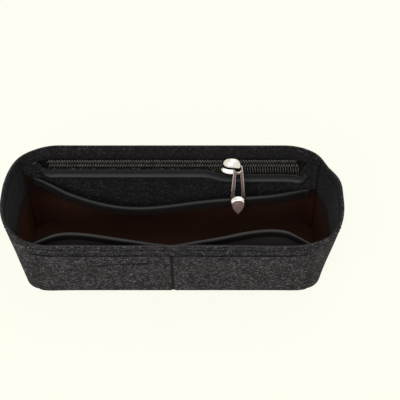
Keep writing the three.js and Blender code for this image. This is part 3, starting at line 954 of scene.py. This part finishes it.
def zipPocket():
    spec = zipPanel
    reach = spec["reach"]
    foot = zipHeight + zipper["edge"]
    rise = zipHeight - zipper["edge"] - pocketFoot

    def panelPlace(a, b, off):
        high = mix(facingTop(a), foot - 0.1 * mm, smooth(*spec["climb"], abs(a)))
        z = mix(pocketFoot, high, b / rise)
        return wallPoint(back, a, z, panelInset(a, z) + panelThick(a) / 2 + off)

    # its inside face takes three quarters of the painted shade (darkShare)
    panel = clothSheet("zip_pocket_felt", (-reach, reach, 1.6 * mm), (0, rise, 2 * mm),
                       lambda a, b: panelThick(a), 0.6 * mm, panelPlace, charcoalFelt, edgeHighlight=0, darkShare=0.75)
    seat(panel, "felt", "zip_pocket_panel")
    cutSheets.append((panel, dict(flat=(2 * reach, rise), held="stretched", rests_on=["felt_back_wall"],
                                  with_pieces=["zip_facing_tape", "lower_tape_cloth"])))

    bend = foot + zipper["lap"] + tub["gap"]
    wallFace = tub["felt"] + tub["gap"]

    def headerThick(a):
        return mix(spec["thin"], spec["header"], endEase(a))

    def headerPlace(a, b, off):
        stand = mix(tapeFront, wallFace, smooth(bend, tub["height"], b))
        return wallPoint(back, a, b, mix(wallFace, stand, endEase(a)) + headerThick(a) / 2 + off)

    up = (foot, tub["height"] - 0.2 * mm, 0.8 * mm)
    header = clothSheet("zip_header_felt", (-reach, reach, 1.6 * mm), up, lambda a, b: headerThick(a),
                        0.5 * mm, headerPlace, charcoalFelt, edgeHighlight=0)
    seat(header, "felt", "zip_header")
    half = spec["rowHalf"]
    for row, name in ((foot + spec["row"], "zip_header"),
                      (tub["height"] - sewing["rimRow"], "inner_rim_back")):
        sew(f"{name}_stitches", 2 * half, lambda s, i: headerPlace(s - half, row, spec["header"] / 2 - i))


facing = {
    "thick": 0.5 * mm,
    "height": 6.4 * mm,
    "piping": 2.1 * mm,  # thickness of the rolled lower edge
    "pipingAt": 1.1 * mm,
    "pipingWidth": 1.0 * mm,
    "curlFrom": (82 * mm, 86 * mm),  # the strip turns up round the left and right ends of the zip
    "curl": (8.9 * mm, 11.5 * mm),
    "curlRun": 15.5 * mm,
    "curlTurn": radians(80),
    "narrow": 0.45,  # lost of its height in the turn
    "row": 1.1 * mm,  # stitches below its upper edge
}


def facingStrip():
    spec = facing
    (left, right), (wide, tall) = spec["curlFrom"], spec["curl"]

    def thick(s, b):
        return mix(spec["thick"], spec["piping"], bell(b - spec["pipingAt"], spec["pipingWidth"]))

    def place(s, b, off):
        # a straight run along the zip, then a quarter turn up each end
        start = left if s < 0 else right
        turn = max(abs(s) - start, 0) / spec["curlRun"] * spec["curlTurn"]
        lean = atan2(tall * sin(turn), wide * cos(turn))
        b *= 1 - spec["narrow"] * smooth(0.3, 1, turn)
        reach = min(abs(s), start) + wide * sin(turn) - b * sin(lean)
        a = copysign(reach, s)
        z = facingTop(a) - spec["height"] + tall * (1 - cos(turn)) + b * cos(lean)
        inset = panelInset(a, min(z, zipHeight)) + panelThick(a) + tub["gap"] + thick(s, b) / 2
        return wallPoint(back, a, z, inset + off)

    run = (-left - spec["curlRun"], right + spec["curlRun"])
    strip = clothSheet("zip_facing_tape", (*run, 1 * mm), (0, spec["height"], 0.4 * mm), thick, 0.3 * mm,
                       place, greyTape)
    seat(strip, "binding", "zip_facing")
    row = spec["height"] - spec["row"]
    sew("zip_facing_stitches", left + right, lambda s, i: place(s - left, row, thick(0, row) / 2 - i))


coil = {
    "pitch": 1.7 * mm,  # wound wider than the real 1.2 mm, so that the picture can show the loops
    "slant": 0.35,  # of the pitch, across a row
    "wire": 0.36 * mm,  # radius of the monofilament
    "front": -2.55 * mm,
    "back": -0.55 * mm,
    "outer": 3.4 * mm,
    "inner": 0.15 * mm,
    "headBend": 0.5 * mm,
    "heelBend": 0.4 * mm,
}


def openShare(a):
    # 0 left of the slider, 1 where the mouth of the pocket hangs open
    return smooth(*zipper["openRun"], a)


def lowerTape(a, z):
    return -zipper["openLean"] * openShare(a) * clamp((-zipper["leanFrom"] - z) / zipper["leanRun"])


def lowerTapeEnd(a):
    return mix(-zipper["edge"] - zipper["lap"], -zipper["openReach"], openShare(a))


def zipTapes():
    spec = zipper
    half = spec["length"] / 2
    inner = coil["inner"] + 0.6 * mm
    high = spec["edge"] + spec["lap"]

    def upperPlace(a, b, off):
        return zipFrame @ Vector((a, off, b))

    def lowerPlace(a, b, off):
        z = mix(-inner, lowerTapeEnd(a), (b - inner) / (high - inner))
        return zipFrame @ Vector((a, lowerTape(a, z) - off, z))

    for name, place in (("upper", upperPlace), ("lower", lowerPlace)):
        tape = clothSheet(f"{name}_tape_cloth", (-half, half, 2 * mm), (inner, high, 0.6 * mm), spec["tape"],
                          clothRoll, place, blackTape)
        seat(tape, "zip_tape", f"{name}_zip_tape")


def coilRow(name, side, shift):
    # one wire wound in flat loops: in along the front, round the head, back behind and on to the next
    spec = coil
    count = int(zipper["length"] / spec["pitch"]) - 1
    start = -count * spec["pitch"] / 2 + shift
    near, far = spec["front"] + spec["wire"], spec["back"] - spec["wire"]
    tip, heel = spec["inner"] + spec["wire"], spec["outer"] - spec["wire"]
    head, foot, middle = tip + spec["headBend"], heel - spec["heelBend"], mix(near, far, 0.5)
    slant = spec["slant"]
    loop = [(0, near, foot), (slant, near, head), (slant, middle, tip),
            (slant + 0.15, far, head), (0.65, far, foot), (0.85, middle, heel)]  # share of the pitch, y, z
    points = [zipFrame @ Vector((start + (k + share) * spec["pitch"], y, side * z))
              for k in range(count) for share, y, z in loop]
    curve = newCurve(f"{name}_coil_wire", "NURBS", [points], dimensions="3D", resolution_u=2,
                     bevel_depth=spec["wire"], bevel_resolution=1, use_fill_caps=True)
    curve.splines[0].order_u = 3
    curve.splines[0].use_endpoint_u = True
    curve.materials.append(coilNylon)
    seat(linked(f"{name}_coil_wire", curve), "nylon", f"{name}_coil")


slipPocket = {
    "half": 95.5 * mm,
    "reach": 104 * mm,  # into the back seams
    "tapeReach": 99 * mm,  # the tape stops short of them
    "rise": 0.75,  # the lip climbs into the corners
    "leftDrop": 15.8 * mm,
    "rightDrop": 30 * mm,
    "dip": 16.6 * mm,
    "dipAt": -31 * mm,
    "dipSpread": 52 * mm,
    "gape": 11.8 * mm,
    "toEnds": 4,
    "shade": 0.6,  # painted shade, darker towards the seams
    "shadeRun": (62 * mm, 100 * mm),
}


def backSlipPocket():
    spec = slipPocket
    half, reach = spec["half"], spec["reach"]

    def lip(a):
        drop = mix(spec["leftDrop"], spec["rightDrop"], a / half / 2 + 0.5)
        climb = max(abs(a) - half, 0) * spec["rise"]
        return tub["height"] - drop + climb - spec["dip"] * bell(a - spec["dipAt"], spec["dipSpread"])

    def inset(a, z):
        stand = tapeStand * mix(0.3, 1, endEase(a))
        gape = spec["gape"] * (1 - min(abs(a) / half, 1) ** spec["toEnds"])
        return panelInset(a, z) + panelThick(a) + stand + gape * opened(z, lip(a))

    tall = lip(-reach) - pocketFoot

    def place(a, b, off):
        z = mix(pocketFoot, lip(a) - pocketCloth["tuck"], b / tall)
        sway = swayed(a, z, 0.09, smooth(0, 12 * mm, b), smooth(0.6, 0.85, b / tall))
        return wallPoint(back, a, z, inset(a, z) + off + sway)

    panel = clothSheet("slip_pocket_cloth", (-reach, reach, 2 * mm), (0, tall, 1.5 * mm),
                       pocketCloth["thick"], clothRoll, place, pocketTaffeta,
                       darkening=lambda a, b: spec["shade"] * smooth(*spec["shadeRun"], abs(a)))
    seat(panel, "lining", "slip_pocket_panel")
    meanTop = np.mean([lip(a) for a in np.linspace(-reach, reach, 105)])
    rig.sheet(panel, flat=(2 * reach, tall), held="hung", rests_on=["zip_pocket_felt"],
             area=2 * reach * float(meanTop - pocketFoot))
    foldedTape("slip_pocket_tape", "slip_pocket_binding", spec["tapeReach"], lip, inset, back,
               "slip_pocket_cloth")


feltWalls()
floors()
linings()
outerPockets()
print("tub and lining made")
frontPockets()
zipPocket()
facingStrip()
zipTapes()
backSlipPocket()
coilRow("upper", 1, -coil["pitch"] / 4)
coilRow("lower", -1, coil["pitch"] / 4)
for sheet, facts in cutSheets:
    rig.sheet(sheet, **facts)
print("pockets and zip made")

# Slider and pull

slider = {
    "rest": 39 * mm,
    "bevel": 0.22 * mm,
    "seat": -4.1 * mm,  # front face of the slider's plate
    "skin": 0.7 * mm,
    "hood": {"middle": 1.4 * mm, "half": 5.8 * mm, "deep": 5.2 * mm, "lean": 0,
             "along": (-80, 60), "across": (6, 89), "notch": 28},  # in degrees of its dome
    "lip": {"middle": -3.0 * mm, "half": 2.2 * mm, "deep": 3.4 * mm, "lean": 2.2 * mm,
            "along": (-80, 10), "across": (-88, 88), "notch": 0},
    "notchRun": (1.5 * mm, 4.2 * mm),  # here the hood's edge comes down beside the pull's eye
    "long": 7.0 * mm,
    "bail": 0.9 * mm,
    "bailRun": (2.9 * mm, -2.6 * mm),
}
sliderFrame = zipFrame @ Matrix.Translation((slider["rest"], 0, 0))


def roundedCopy(node, name, width):
    # the cast part with its sharp edges taken off
    mesh = frame["nodes"][node].data.copy()
    with edited(mesh) as work:
        weld(work)
        bmesh.ops.dissolve_limit(work, angle_limit=0.02, verts=work.verts, edges=work.edges)
        sharp = [e for e in work.edges if len(e.link_faces) == 2 and e.calc_face_angle(0) > 0.6]
        bmesh.ops.bevel(work, geom=sharp, offset=width, segments=3, profile=0.5, affect="EDGES",
                        clamp_overlap=True)
        for face in work.faces:
            face.smooth = True
    mesh.materials.clear()
    mesh.materials.append(nickel)
    return linked(name, mesh)


def sliderParts():
    spec = slider
    body = roundedCopy("slider_body", "slider_casting", spec["bevel"])
    seat(body, "nickel", "slider_body", "slider")

    def shell(name, form):
        # a domed skin along the slider: turn runs along it, share across it
        low, high = form["across"]

        def place(turn, share, off):
            power = 4 if turn > 0 else 2  # stays deep over the pull's eye, round at the other end
            scale, fall = cos(turn), (1 - abs(sin(turn)) ** power) ** (1 / power)
            x = spec["long"] * sin(turn)
            tilt = radians(mix(low - form["notch"] * smooth(*spec["notchRun"], x), high, share))
            out = (form["deep"] * fall + off) * cos(tilt)
            rise = (form["half"] * scale + off) * sin(tilt) - form["lean"] * scale * cos(tilt)
            return sliderFrame @ Vector((x, spec["seat"] - out, form["middle"] + rise))

        turns = [radians(turn) for turn in form["along"]]
        return clothSheet(name, (*turns, 0.07), (0, 1, 0.06), spec["skin"], 0.06, place, nickel)

    seat(shell("slider_hood", spec["hood"]), "nickel", "slider_cap", "slider")
    seat(shell("slider_lip", spec["lip"]), "nickel", body="slider")


pull = {
    "lean": 38,  # degrees off the vertical, over the pocket lip
    "bailAt": 4.4 * mm,
    "depth": -6.45 * mm,
    "length": 32.5 * mm,
    "eye": 2.05 * mm,
    "ring": 3.15 * mm,
    "thick": 1.3 * mm,
    "round": 0.5 * mm,
    "slot": (4.1 * mm, 19.9 * mm),
    "slotWidth": (2.2 * mm, 4.3 * mm),
    "dropTop": 19.7 * mm,
    "shoulder": 23.5 * mm,
    "width": 10.4 * mm,
    "dropThick": 4 * mm,
    "dropRim": 0.45 * mm,  # half the thickness of the drop's edge
    "dropBevel": 0.3 * mm,
    "overlap": 0.5 * mm,  # the drop reaches this far up over the legs
    "belly": 2.1,  # how late the drop narrows to its tip
    "table": (0.84, 0.6, 0.88),  # the flat's share of the width, and of the height above and below
    "tableMiddle": 1.2 * mm,  # below the shoulder
}
pullFrame = (sliderFrame @ Matrix.Translation((pull["bailAt"], pull["depth"], 0))
             @ Matrix.Rotation(wallSlope - radians(pull["lean"]), 4, "X"))


def bailPin():
    # runs from the plate through the pull's eye to the edge of the hood
    spec = slider
    sides, rings = 16, 7
    verts = []
    for r in range(rings):
        share = r / (rings - 1)
        y = mix(*spec["bailRun"], share)
        radius = spec["bail"] * (0.85 + 0.3 * abs(2 * share - 1) ** 3)
        for k in range(sides):
            turn = 2 * pi * k / sides
            verts.append(pullFrame @ Vector((radius * cos(turn), y, radius * sin(turn))))
    pin = meshPiece("slider_bail", verts, ringFaces(0, rings, sides, (0, -1)), nickel)
    seat(pin, "nickel", body="slider")


def pullLegs():
    spec = pull
    half, ring, eye = spec["width"] / 2, spec["ring"], spec["eye"]
    (top, end), (narrow, wide) = spec["slot"], spec["slotWidth"]
    outer = [(ring * cos(t), ring * sin(t)) for t in np.linspace(0, pi, 17)]
    outer += [(-half, -spec["dropTop"]), (-half, -spec["shoulder"]),
              (half, -spec["shoulder"]), (half, -spec["dropTop"])]
    hole = [(eye * cos(t), -eye * sin(t)) for t in np.linspace(0, 2 * pi, 24, False)]
    slot = [(-narrow / 2, -top), (narrow / 2, -top)]
    slot += [(wide / 2 * cos(t), -end - wide / 2 * sin(t)) for t in np.linspace(0, pi, 9)]
    paths = [[(x, y, 0) for x, y in path] for path in (outer, hole, slot)]
    bevel = spec["round"]
    curve = newCurve("pull_legs", "POLY", paths, dimensions="2D", fill_mode="BOTH", bevel_resolution=2,
                     extrude=spec["thick"] / 2 - bevel, bevel_depth=bevel, offset=-bevel)
    for spline in curve.splines:
        spline.use_cyclic_u = True
    shape = linked("pull_outline", curve)
    bpy.context.view_layer.update()
    mesh = bpy.data.meshes.new_from_object(shape.evaluated_get(bpy.context.evaluated_depsgraph_get()))
    bpy.data.objects.remove(shape)
    mesh.transform(pullFrame @ Matrix.Rotation(pi / 2, 4, "X"))
    with edited(mesh) as work:
        weld(work)
        bmesh.ops.recalc_face_normals(work, faces=work.faces)
    mesh.materials.clear()
    mesh.materials.append(roseNickel)
    mesh.materials.append(nickel)
    flat = pullFrame.to_3x3() @ Vector((0, 1, 0))
    for face in mesh.polygons:  # lit and shaded copies: the rounded edges take the bright polished nickel, the broad faces the darker copy with its painted rose reflection
        face.material_index = 0 if abs(face.normal.dot(flat)) > 0.97 else 1
    seat(linked("pull_legs", mesh), "nickel", "zip_pull", "pull")


def pullDrop():
    # a cut drop: a table on each face inside sloping facets, arched on top and pointed below
    spec = pull
    half = spec["width"] / 2
    top, shoulder, tip = spec["dropTop"] - spec["overlap"], spec["shoulder"], spec["length"]
    arch = [(half * cos(t), (shoulder - top) * sin(t) - shoulder) for t in np.linspace(0, pi, 13)]
    falls = np.linspace(0, 1, 7)[1:]
    left = [(-half * (1 - s ** spec["belly"]), -mix(shoulder, tip, s)) for s in falls]
    girdle = arch + left + [(-x, z) for x, z in left[-2::-1]]
    middle = -shoulder - spec["tableMiddle"]
    across, above, below = spec["table"]
    table = [(across * x, middle + (above if z > middle else below) * (z - middle)) for x, z in girdle]
    deep, edge = spec["dropThick"] / 2, spec["dropRim"]
    layers = [(table, -deep), (girdle, -edge), (girdle, edge), (table, deep)]
    verts = [pullFrame @ Vector((x, y, z)) for ring, y in layers for x, z in ring]
    faces = ringFaces(0, len(layers), len(girdle), (0, -1))
    piece = meshPiece("pull_drop", verts, faces, satinNickel, smoothShade=False)
    piece.data.materials.append(nickel)
    # painted highlight: the bevels and the faces turned up take the bright nickel, as if lit from above, the rest the
    # satin copy with its painted rose reflection
    upward = pullFrame.to_3x3() @ Vector((0, 0, 1))
    with edited(piece.data) as work:
        sharp = [e for e in work.edges if e.calc_face_angle(0) > 0.3]
        bmesh.ops.bevel(work, geom=sharp, offset=spec["dropBevel"], segments=3, profile=0.5, affect="EDGES",
                        material=1)
        for face in work.faces:
            face.smooth = len(face.verts) == 4
            if face.normal.dot(upward) > 0.25:
                face.material_index = 1
    seat(piece, "nickel", body="pull")


sliderParts()
bailPin()
pullLegs()
pullDrop()
print("slider and pull made")

# Rows of stitches on the shell

shellRows = {
    "rimEnd": 2 * mm,
    "endWidth": 70 * mm,  # round an end at the rim
    "endShare": (0.02, 0.98),
    "pocketFoot": 1 * mm,
    "pocketEnd": 2.4 * mm,
    "barsFrom": 24 * mm,
    "barRadius": 0.3 * mm,
    "barLean": 0.9 * mm,
}


def stitching():
    spec = shellRows
    row, felted = tub["height"] - sewing["rimRow"], tub["felt"]
    for face, panel, name in ((front, "frontPanel", "front"), (back, "backPanel", "back")):
        half = tub[panel] / 2 - spec["rimEnd"]
        sew(f"rim_stitches_{name}", 2 * half, lambda s, i: wallPoint(face, s - half, row, i))
    half = tub["frontPanel"] / 2 - spec["rimEnd"]
    sew("inner_rim_front_stitches", 2 * half, lambda s, i: wallPoint(front, s - half, row, felted - i))
    width = spec["endWidth"]
    for side, name in ends:

        def endRow(s, inset):
            return endPoint(side, mix(*spec["endShare"], s / width), row, inset)

        sew(f"rim_stitches_{name}", width, endRow)
        sew(f"inner_rim_{name}_stitches", width, lambda s, i: endRow(s, felted - i))
    out = -tub["gap"] - outerPocket["thick"]
    foot = spec["pocketFoot"]
    tall = tub["height"] - outerPocket["drop"] - 2 * foot
    sew("outer_pocket_middle_stitches", tall,
        lambda s, i: wallPoint(front, 0.0001 * mm, s + foot, out + outerPocket["groove"] + i))
    end = tub["frontPanel"] / 2 - outerPocket["margin"] - spec["pocketEnd"]
    for side, name in ends:
        sew(f"outer_pocket_{name}_stitches", tall,
            lambda s, i: wallPoint(front, side * end, s + foot, out + i))


def tapeThreads():
    # the threads that hold the lower row cross the open part of its tape
    spec = shellRows
    out = zipFrame.to_3x3() @ Vector((0, -1, 0))

    def bar(x, share):
        a = x + spec["barLean"] * share
        z = mix(-coil["outer"], lowerTapeEnd(x) + 0.3 * mm, share)
        return zipFrame @ Vector((a, lowerTape(a, z) - zipper["tape"] / 2, z)), out

    places = np.arange(spec["barsFrom"], zipper["length"] / 2 - 1 * mm, coil["pitch"])
    bars = [lambda share, x=x: bar(x, share) for x in places]
    threadRow("lower_tape_threads", bars, spec["barRadius"], coilNylon, "nylon")


stitching()
tapeThreads()
print("stitches made")

# Stage, light and camera

studio = {
    "paper": "#fefef2",
    "floorSize": 6.0,
    "floorDrop": 0.1 * mm,
    "shadowShare": 0.16,  # how much of the floor's own shading the camera sees
    "glow": 1.1,  # brings the lit paper back to its own colour
    "ambient": 0.21,
    "lamps": [
        {"name": "key", "spot": (-0.25, -0.75, 1.05), "size": 0.9, "watts": 4.2},
        {"name": "top", "spot": (0.3, 0.25, 1.2), "size": 0.8, "watts": 2.2},
    ],
    "aim": Vector((0, 0, 40 * mm)),
}


def seenShare(owner):
    # 1 for what the camera sees, itself or in a reflection, 0 for light that falls on the scene
    path = addNode(owner, "LightPath").node.outputs
    seen = path["Is Camera Ray"]
    for key in ("Is Glossy Ray", "Is Transmission Ray"):
        seen = addNode(owner, "Math", {0: seen, 1: path[key]}, operation="MAXIMUM")
    return seen


def paperFloor():
    # matt studio paper: an even pale ground with a trace of shadow
    mat = newMaterial("pale_paper_sweep")
    paper = linear(studio["paper"])
    share = addNode(mat, "Math", {0: seenShare(mat), 1: 1 - studio["shadowShare"]},
                    operation="MULTIPLY")
    matt = addNode(mat, "BsdfDiffuse", {"Color": paper})
    glow = addNode(mat, "Emission", {"Color": paper, "Strength": studio["glow"]})
    both = addNode(mat, "MixShader", {0: share, 1: matt, 2: glow})
    addNode(mat, "OutputMaterial", {"Surface": both})
    half = studio["floorSize"] / 2
    corners = [(-half, -half, 0), (half, -half, 0), (half, half, 0), (-half, half, 0)]
    floor = meshPiece("floor", corners, [[0, 1, 2, 3]], mat, smoothShade=False)
    floor.location.z = -studio["floorDrop"]
    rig.stage(floor)


def softWorld():
    world = cleared(bpy.data.worlds.new("studio"))
    bpy.context.scene.world = world
    dim = addNode(world, "Background", {"Color": (1, 1, 1, 1), "Strength": studio["ambient"]})
    bright = addNode(world, "Background", {"Color": linear(studio["paper"]), "Strength": 1.0})
    both = addNode(world, "MixShader", {0: seenShare(world), 1: dim, 2: bright})
    addNode(world, "OutputWorld", {"Surface": both})


def lamps():
    for spec in studio["lamps"]:
        light = bpy.data.lights.new(spec["name"], "AREA")
        light.energy = spec["watts"]
        light.size = spec["size"]
        lamp = linked(spec["name"], light)
        lamp.location = spec["spot"]
        lamp.rotation_euler = (studio["aim"] - lamp.location).to_track_quat("-Z", "Y").to_euler()


view = {
    "pitch": 56,  # degrees below the horizon
    "spot": Vector((17.985, -394.38, 650.515)) * mm,
    "focal": 1090,  # in pixels of the picture
    "picture": 400,
    "sensor": 36,
    "clip": (0.05, 20),
}


def photoCamera():
    lens = bpy.data.cameras.new("camera")
    lens.sensor_width = view["sensor"]
    lens.lens = view["focal"] * view["sensor"] / view["picture"]
    lens.clip_start, lens.clip_end = view["clip"]
    camera = linked("camera", lens)
    camera.location = view["spot"]
    camera.rotation_euler = (radians(90 - view["pitch"]), 0, 0)
    bpy.context.scene.camera = camera


paperFloor()
softWorld()
lamps()
photoCamera()
bpy.context.scene.view_settings.view_transform = "Standard"
print("stage lit")

bpy.context.view_layer.update()
sizes = {"cad": [list(cadLow), list(cadHigh)], "visual": [list(corner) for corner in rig.bounds()]}
with open("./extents.json", "w") as out:
    json.dump(sizes, out)
